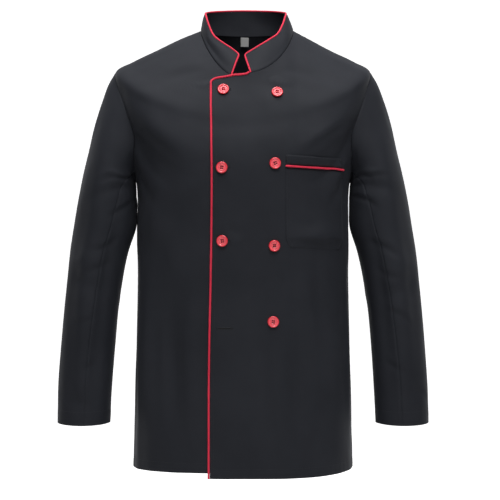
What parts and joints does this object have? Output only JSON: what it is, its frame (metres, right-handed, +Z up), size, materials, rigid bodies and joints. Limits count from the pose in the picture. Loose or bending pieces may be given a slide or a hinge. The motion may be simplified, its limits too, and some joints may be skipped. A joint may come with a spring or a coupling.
{
  "type": "chef jacket",
  "caption": "Dark double-breasted cook's jacket with a stand collar, long two-piece sleeves, a chest pocket, red piping and round red buttons.",
  "frame": {"origin": "middle of the neck opening, level with the side of the neck, where the wearer's neck and shoulders hold the jacket", "axes": "+Z up along the wearer's trunk, -Y towards the front with the buttons, +X towards the wearer's left"},
  "size_m": [0.6336, 0.2671, 0.7961],
  "materials": {
    "twill": "matte",
    "piping": "matte",
    "label_tape": "matte",
    "button": "gloss"
  },
  "bodies": {
    "root": {"back": "twill", "front_right": "twill", "front_left": "twill", "collar": "twill", "sleeve_left_top": "twill", "sleeve_left_under": "twill", "sleeve_right_top": "twill", "sleeve_right_under": "twill", "pocket_body": "twill", "pocket_band": "twill", "pocket_piping": "piping", "collar_piping": "piping", "lap_piping": "piping", "label": "label_tape", "button_1": "button", "button_2": "button", "button_3": "button", "button_4": "button", "button_5": "button", "button_6": "button", "button_7": "button"}
  },
  "joints": []
}
